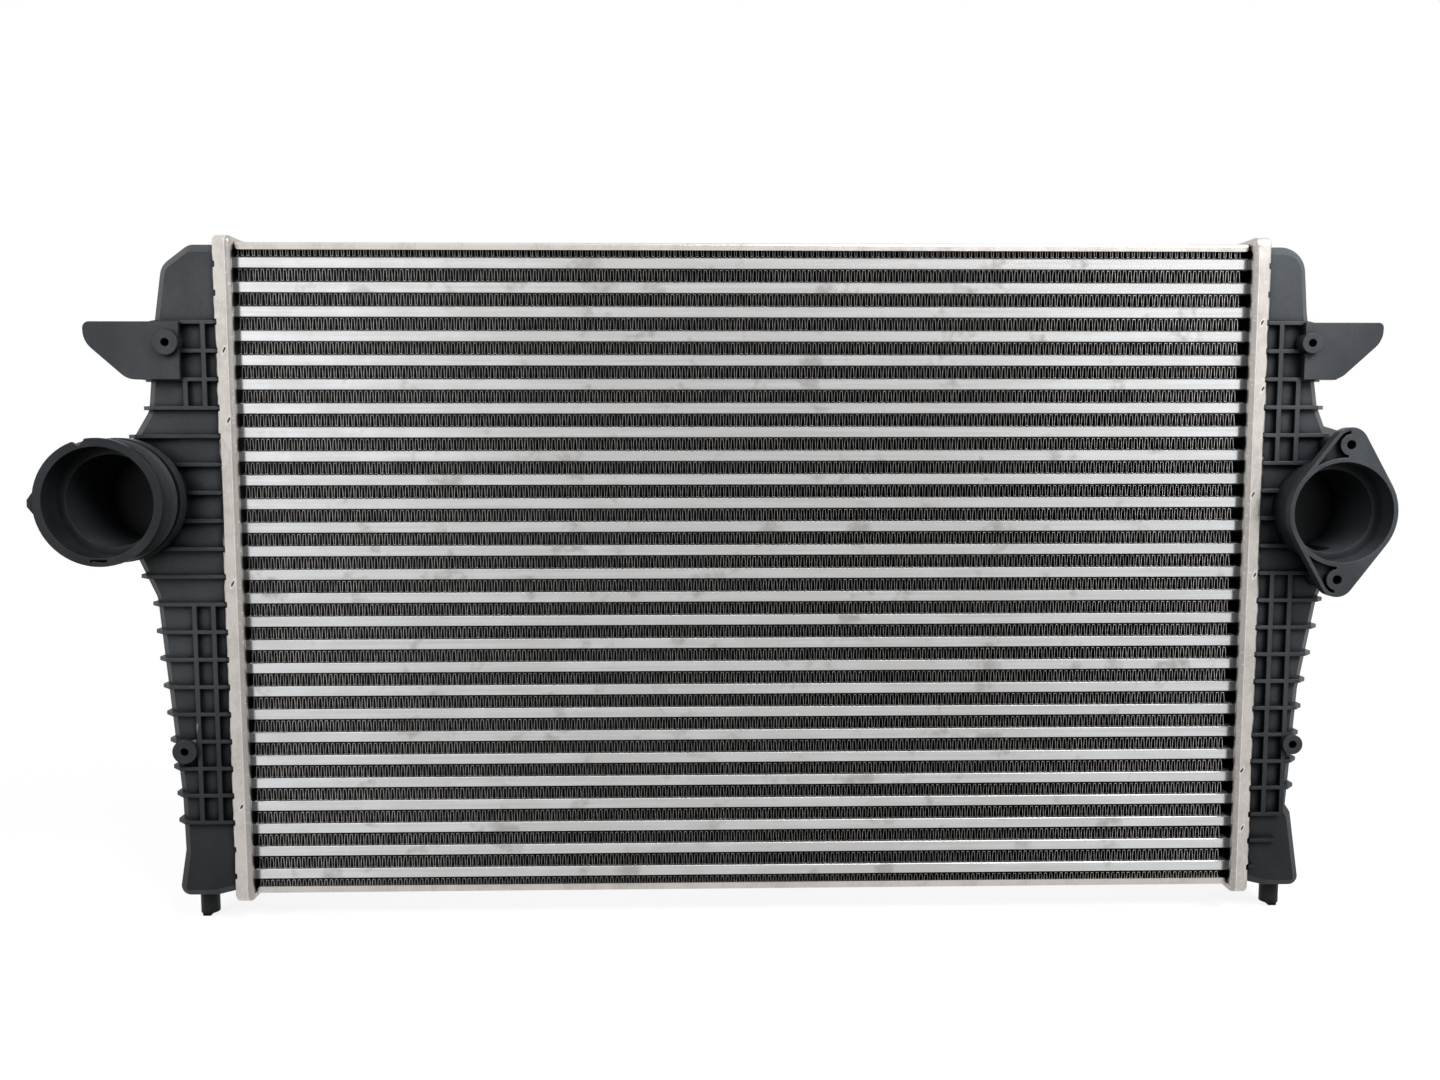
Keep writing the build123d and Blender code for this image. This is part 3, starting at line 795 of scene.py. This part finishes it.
def bentTray(name, side, rise):
    # the crimped wall of one header plate
    t = tray
    section = traySection()
    cutBack = t["width"] - t["notchDepth"] - t["notchSpare"]
    mesh = bmesh.new()
    rings = []
    chance = random.Random(t["seed"] + side)
    for py, pz, cy, cz, cut, loose in trayPath(chance):
        ring = []
        for x, inset in section:
            if cut > 0 and x > cutBack:
                x, inset = cutBack, min(inset, t["sheet"])
            elif x > t["width"] - t["raggedWide"]:
                x += loose - t["ragged"]
            reach = max(1 - inset / t["corner"], 0.0)
            y = cy + (py - cy) * reach
            z = cz + (pz - cz) * reach
            y = max(min(y, t["halfDepth"] - inset), inset - t["halfDepth"])
            z = max(min(z, t["halfHeight"] - inset), inset - t["halfHeight"])
            ring.append(mesh.verts.new((side * (t["inner"] + x), y, z + rise)))
        rings.append(ring)
    for ring, after in zip(rings, rings[1:] + rings[:1]):
        bridge(mesh, ring, after)
    bmesh.ops.remove_doubles(mesh, verts=mesh.verts, dist=t["weld"])
    bmesh.ops.dissolve_degenerate(mesh, edges=mesh.edges, dist=t["tiny"])
    bmesh.ops.recalc_face_normals(mesh, faces=mesh.faces)
    return meshFrom(name, mesh)


def slotTree():
    # the slotted floor of a header plate: a bar between each pair of tubes, and two side strips
    tree, given = newTree("slottedPanel", {
        "Sheet": "Float", "Slot Width": "Float", "Slot Height": "Float", "Pitch": "Float",
        "Slots": "Int", "Rim": "Float", "Middle": "Vector", "Metal": "Material"})
    bars = calc(tree, "ADD", given["Slots"], 1.0)
    height = calc(tree, "SUBTRACT", given["Pitch"], given["Slot Height"])
    barSize = add(tree, "ShaderNodeCombineXYZ", X=given["Sheet"], Y=given["Slot Width"], Z=height)
    bar = add(tree, "GeometryNodeMeshCube", Size=barSize.outputs[0]).outputs["Mesh"]
    low = product(tree, given["Slots"], given["Pitch"], -0.5)
    start = add(tree, "ShaderNodeCombineXYZ", Z=low).outputs[0]
    step = add(tree, "ShaderNodeCombineXYZ", Z=given["Pitch"]).outputs[0]
    row = add(tree, "GeometryNodeMeshLine", Count=bars, Start_Location=start, Offset=step)
    placed = add(tree, "GeometryNodeInstanceOnPoints", Points=row.outputs[0], Instance=bar)
    tall = calc(tree, "SUBTRACT", height, product(tree, low, 2.0))
    sideSize = add(tree, "ShaderNodeCombineXYZ", X=given["Sheet"], Y=given["Rim"], Z=tall)
    strip = add(tree, "GeometryNodeMeshCube", Size=sideSize.outputs[0]).outputs["Mesh"]
    out = product(tree, calc(tree, "ADD", given["Slot Width"], given["Rim"]), 0.5)
    joined = tree.nodes.new("GeometryNodeJoinGeometry")
    tree.links.new(placed.outputs[0], joined.inputs[0])
    for sign in (-1.0, 1.0):
        where = add(tree, "ShaderNodeCombineXYZ", Y=product(tree, out, sign)).outputs[0]
        moved = add(tree, "GeometryNodeTransform", Geometry=strip, Translation=where).outputs[0]
        tree.links.new(moved, joined.inputs[0])
    whole = add(tree, "GeometryNodeTransform", Geometry=joined.outputs[0],
                Translation=given["Middle"])
    endTree(tree, whole.outputs[0], given["Metal"])
    return tree


def placeHeaders():
    tree = slotTree()
    tubeLow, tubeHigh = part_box("tube_14")
    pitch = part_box("tube_15")[0].z - tubeLow.z
    rise = coreMiddle()
    for side, node in ((1, "header_plate_right"), (-1, "header_plate_left")):
        panel = grow("headerPanel", tree, {
            "Sheet": tray["sheet"], "Slot Width": tubeHigh.y - tubeLow.y,
            "Slot Height": tubeHigh.z - tubeLow.z, "Pitch": pitch, "Slots": tray["slots"],
            "Rim": tray["halfDepth"] - tray["flat"] - tubeHigh.y,
            "Middle": (side * (tray["inner"] + tray["sheet"] / 2), 0.0, rise), "Metal": headerSkin})
        mesh = bmesh.new()
        mesh.from_mesh(panel.data)
        wall = bentTray("headerWall", side, rise)
        mesh.from_mesh(wall)
        name = "headerPlateRight" if side > 0 else "headerPlateLeft"
        data = meshFrom(name, mesh)
        old = panel.data
        panel.data = data
        panel.name = name
        bpy.data.meshes.remove(old)
        bpy.data.meshes.remove(wall)
        dress(panel, headerSkin)
        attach(panel, "root")
        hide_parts(node)
    print("header plates of", len(data.polygons), "faces")


placeHeaders()


# the tank ribs' ends, which stand in the header's notches

ribEnd = {  # from and to are along X, front and back along Y
    "thick": 2.5 * mm, "from": 318.1 * mm, "to": 321 * mm, "front": 22.5 * mm, "back": 19.6 * mm,
    "edge": 0.5 * mm, "narrowed": 0.72,  # how deep its front is narrowed, and to what share
    "firstNotch": 2,  # the notch of the highest rib, counted from 0
    "counts": {1: 18, -1: 19},  # right and left
}


def ribEndTree():
    tree, given = newTree("ribEnds", {"Size": "Vector", "Edge": "Float", "Pitch": "Float",
                                      "Count": "Int", "First": "Vector", "Plastic": "Material"})
    block = add(tree, "GeometryNodeMeshCube", Size=given["Size"]).outputs["Mesh"]
    normal = tree.nodes.new("GeometryNodeInputNormal").outputs[0]
    facesFront = calc(tree, "LESS_THAN", axes(tree, normal)["Y"], -0.5)
    capped = add(tree, "GeometryNodeExtrudeMesh", Mesh=block, Selection=facesFront,
                 Offset_Scale=given["Edge"])
    narrow = add(tree, "GeometryNodeScaleElements", Geometry=capped.outputs["Mesh"],
                 Selection=capped.outputs["Top"], Scale=ribEnd["narrowed"]).outputs[0]
    down = add(tree, "ShaderNodeCombineXYZ", Z=product(tree, given["Pitch"], -1.0)).outputs[0]
    row = add(tree, "GeometryNodeMeshLine", Count=given["Count"], Start_Location=given["First"],
              Offset=down)
    placed = add(tree, "GeometryNodeInstanceOnPoints", Points=row.outputs[0], Instance=narrow)
    endTree(tree, placed.outputs[0], given["Plastic"])
    return tree


def placeRibEnds():
    tree = ribEndTree()
    r = ribEnd
    blockFront = r["front"] - r["edge"]
    top = coreMiddle() + tray["notchTop"] - r["firstNotch"] * tray["notchPitch"]
    for side, name in ((1, "ribEndsRight"), (-1, "ribEndsLeft")):
        piece = grow(name, tree, {
            "Size": (r["to"] - r["from"], blockFront - r["back"], r["thick"]),
            "Edge": r["edge"], "Pitch": tray["notchPitch"], "Count": r["counts"][side],
            "First": (side * (r["from"] + r["to"]) / 2, -(blockFront + r["back"]) / 2, top),
            "Plastic": tankSkin})
        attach(piece, "root")
    print("rib ends of", len(piece.data.polygons), "faces")


placeRibEnds()


# side plates

rail = {  # heights are from the core's middle
    "half": 308 * mm, "halfDepth": 17.5 * mm, "top": 202 * mm, "sheet": 1.5 * mm, "lip": 4.6 * mm,
    "bend": 1.8 * mm,
    "cornerCuts": [(0.0, 1.5), (0.35, 0.75), (0.9, 0.25), (1.8, 0.0)],  # from the end, off the lip, mm
}


def railSection():
    # the channel's section: from its middle out round one lip and back, then the other half
    r = rail
    corner = (r["halfDepth"] - r["bend"], r["top"] - r["bend"])
    outer = [(0.0, r["top"])] + arc(corner, r["bend"], 90, 0, 5)
    outer += [(r["halfDepth"], r["top"] - r["lip"])]
    inner = [(r["halfDepth"] - r["sheet"], r["top"] - r["lip"])]
    inner += arc(corner, r["bend"] - r["sheet"], 0, 90, 2)
    inner += [(0.0, r["top"] - r["sheet"])]
    right = outer + inner
    left = [(-y, z) for y, z in reversed(right) if y > 0]
    return right + left


def placeRails():
    r = rail
    rise = coreMiddle()
    section = railSection()
    foot = r["top"] - r["lip"]
    stops = [(r["half"] - a * mm, b * mm) for a, b in r["cornerCuts"]]
    stops = [(-x, cut) for x, cut in stops] + [(x, cut) for x, cut in reversed(stops)]
    for sign, node, name in ((1, "side_plate_top", "sidePlateTop"),
                             (-1, "side_plate_bottom", "sidePlateBottom")):
        mesh = bmesh.new()
        rings = []
        for x, cut in stops:
            rings.append([mesh.verts.new((x, y, sign * max(z, foot + cut) + rise)) for y, z in section])
        for ring, after in zip(rings, rings[1:]):
            bridge(mesh, ring, after)
        for ring in (rings[0], rings[-1]):
            mesh.faces.new(ring)
        bmesh.ops.triangulate(mesh, faces=[f for f in mesh.faces if len(f.verts) > 4])
        bmesh.ops.recalc_face_normals(mesh, faces=mesh.faces)
        obj = bpy.data.objects.new(name, meshFrom(name, mesh))
        scene.collection.objects.link(obj)
        dress(obj, railSkin)
        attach(obj, "root")
        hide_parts(node)
    print("side plates")


placeRails()
